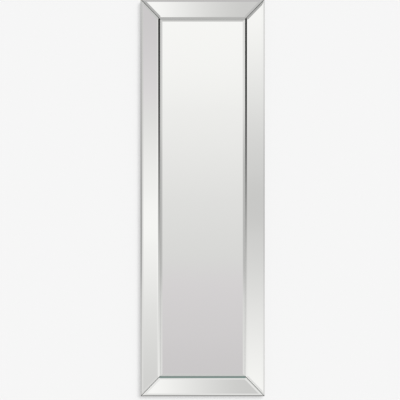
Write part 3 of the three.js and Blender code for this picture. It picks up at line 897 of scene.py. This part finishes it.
def gradient(value, stops, curve="B_SPLINE"):
    """A grey that follows the value through stops of (value, display grey)."""
    low, high = stops[0][0], stops[-1][0]
    carry = tree.nodes.new("ShaderNodeMapRange")
    carry.inputs["From Min"].default_value = low
    carry.inputs["From Max"].default_value = high
    tree.links.new(value, carry.inputs["Value"])
    node = tree.nodes.new("ShaderNodeValToRGB")
    node.color_ramp.interpolation = curve
    elements = node.color_ramp.elements
    while len(elements) < len(stops):
        elements.new(0.5)
    for element, (at, grey) in zip(elements, stops):
        element.position = (at - low) / (high - low)
    for element, (at, grey) in zip(elements, stops):
        element.color = (seen(grey),) * 3 + (1,)
    tree.links.new(carry.outputs["Result"], node.inputs["Fac"])
    return node.outputs["Color"]


def over(under, layer, mask):
    """The layer where the mask is 1, what is under it where the mask is 0."""
    return calc("MULTIPLY_ADD", calc("SUBTRACT", layer, under), mask, under)


direction = tree.nodes.new("ShaderNodeTexCoord").outputs["Generated"]
parts = tree.nodes.new("ShaderNodeSeparateXYZ")
tree.links.new(direction, parts.inputs[0])
azimuth = calc("DEGREES", calc("ARCTAN2", parts.outputs["X"],
                               calc("MULTIPLY", parts.outputs["Y"], -1.0)))
elevation = calc("DEGREES", calc("ARCSINE", parts.outputs["Z"]))
turn = calc("ABSOLUTE", azimuth)
height = calc("ABSOLUTE", elevation)

# The room itself, from the floor to the ceiling, dark green at its highest.
light = gradient(elevation, [(-90, 190), (-80, 182), (-70, 180), (-68.5, 144), (-60, 146),
                             (-50, 186), (-38, 192), (-15, 214), (15, 226), (36, 232), (48, 230),
                             (62, 180), (68, 186), (70, 147), (90, 140)], "LINEAR")

# The far sides, dim above and bright below.
sides = gradient(elevation, [(-9, 244), (-6.3, 228), (-4.2, 210), (-2, 184), (0, 150),
                             (2.2, 110), (4.3, 74), (6.5, 50), (9, 38)], "LINEAR")
light = over(light, sides, calc("MULTIPLY", rise(turn, 66, 72), window(elevation, -11, 11, 8)))

# The tall panels round the front, each between two azimuths and with its own gradient up and
# down. The left side's and the right side's are bright in turn.
VALLEY = [(-8.5, 249), (-4.8, 225), (-1.5, 203), (-0.3, 199), (1.2, 203), (4.3, 223), (8, 249)]
RIDGE = [(-8.5, 204), (-4.8, 224), (-2, 244), (-1, 246), (0.3, 243), (3.6, 222), (8, 199)]
panels = [
    (-66, -54, [(-9, 188), (-6, 186), (-4, 172), (-3, 138), (0, 134), (3, 160), (7, 176), (9, 192)]),
    (-50, -39, [(-8.5, 248), (-4.8, 227), (-1.5, 205), (-0.3, 202), (1.2, 206), (4.3, 232),
                (8, 258)]),
    (-36, -27.5, VALLEY),
    (-26, -21, [(-9, 222), (-4.4, 212), (-3, 180), (0, 186), (2, 188), (3.4, 208), (9, 202)]),
    (-18, -12, VALLEY),
    (-4, 5, [(-9, 200), (-6, 204), (0, 223), (4, 238), (6, 244), (9, 247)]),
    (12, 18, [(-9, 214), (-5, 222), (-2, 216), (2, 208), (5, 200), (9, 196)]),
    (21, 26, [(-9, 224), (-4.4, 216), (-3, 180), (1.5, 186), (3, 206), (4.2, 224), (9, 224)]),
    (27.5, 36, RIDGE),
    (39, 50, [(-8.5, 212), (-4.8, 232), (-2, 252), (-1, 258), (0.3, 257), (3.6, 234),
              (8, 212)]),
    (54, 66, [(-9, 214), (-5, 214), (-2, 176), (2, 176), (5, 212), (9, 212)]),
]
tall = window(elevation, -11, 11, 5)
for low, high, stops in panels:
    mask = calc("MULTIPLY", window(azimuth, low, high, 1.0), tall)
    light = over(light, gradient(elevation, stops), mask)

# What the mitres' bevels show: patches of one grey, each at its azimuth and elevation.
corners = [(45.3, 21.7, 197), (45.3, -21.6, 214), (-45.1, 21.7, 172), (-45.1, -21.6, 222),
           (-20.2, -36.6, 177), (20.4, -36.6, 190), (-20.2, 36.7, 231), (20.5, 36.7, 227)]
PATCH_REACH = (5, 4)  # beside and above the middle
for beside, up, grey in corners:
    mask = calc("MULTIPLY", window(azimuth, beside - PATCH_REACH[0], beside + PATCH_REACH[0], 2.0),
                window(elevation, up - PATCH_REACH[1], up + PATCH_REACH[1], 2.0))
    light = over(light, seen(grey), mask)

# Low and high rows, bright to the left and dimmer to the right.
near_front = window(azimuth, -9, 9, 4)
row = gradient(azimuth, [(-2.2, 247), (-1.2, 237), (0, 222), (1.2, 209), (2.2, 202)])
light = over(light, row, calc("MULTIPLY", window(height, 19, 27, 2.0), near_front))
light = over(light, row, calc("MULTIPLY", window(elevation, -42, -34, 1.0), near_front))
edge_row = gradient(elevation, [(-12, 188), (-9, 188), (9, 224), (12, 224)], "LINEAR")
light = over(light, edge_row, calc("MULTIPLY", window(height, 9, 13, 0.4), near_front))
bevel_row = gradient(elevation, [(-34, 202), (-28, 202), (28, 192), (34, 192)], "LINEAR")
light = over(light, bevel_row, calc("MULTIPLY", window(height, 28.5, 33, 1.0), near_front))

# The panels low in front and high to the right are the palest pink.
low_front = calc("MULTIPLY", window(azimuth, -8, 8, 2.0), window(elevation, -12, -4, 1.8))
high_right = calc("MULTIPLY", window(azimuth, 27.5, 36, 2.0), window(elevation, 5, 11, 1.6))
PINK, GREEN = 0.026, 0.22  # the shares of the other colours that these leave out
blush = calc("MULTIPLY", calc("MAXIMUM", low_front, high_right), PINK)
green = calc("MULTIPLY", rise(elevation, 67, 71), GREEN)
studio = tree.nodes.new("ShaderNodeCombineColor")
tree.links.new(calc("MULTIPLY", light, calc("SUBTRACT", 1.0, green)), studio.inputs["Red"])
tree.links.new(calc("MULTIPLY", light, calc("SUBTRACT", 1.0, blush)), studio.inputs["Green"])
tree.links.new(calc("MULTIPLY", light, calc("SUBTRACT", 0.985, calc("MULTIPLY", green, 0.2))),
               studio.inputs["Blue"])

# Cameras see the plain background, matt surfaces an even light, and mirrors the studio.
EVEN_LIGHT = 0.5
rays = tree.nodes.new("ShaderNodeLightPath")
shiny = calc("MAXIMUM", rays.outputs["Is Glossy Ray"], rays.outputs["Is Transmission Ray"])
lit = choice(tree, shiny, EVEN_LIGHT, studio.outputs[0])
background = tree.nodes.new("ShaderNodeBackground")
seen_light = choice(tree, rays.outputs["Is Camera Ray"], lit, BACKGROUND)
tree.links.new(seen_light, background.inputs["Color"])
output = tree.nodes.new("ShaderNodeOutputWorld")
tree.links.new(background.outputs[0], output.inputs["Surface"])

# ---- camera ----------------------------------------------------------------------------------
# Four metres off, square to the mirror and just left of and below its middle, with a long lens,
# so that the mirror stands a little to the right and its top edge meets the picture's.

CAMERA_DISTANCE = 4.0
CAMERA_LEFT, CAMERA_BELOW = 8 * MM, 7 * MM
LENS = 116.6
SENSOR = 36

camera_data = bpy.data.cameras.new("camera")
camera_data.lens = LENS
camera_data.sensor_width = SENSOR
camera = bpy.data.objects.new("camera", camera_data)
camera.location = (-CAMERA_LEFT, -CAMERA_DISTANCE, MIRROR_MIDDLE - CAMERA_BELOW)
camera.rotation_euler = (math.radians(90), 0, 0)
scene.collection.objects.link(camera)
scene.camera = camera
scene.view_settings.view_transform = "Standard"
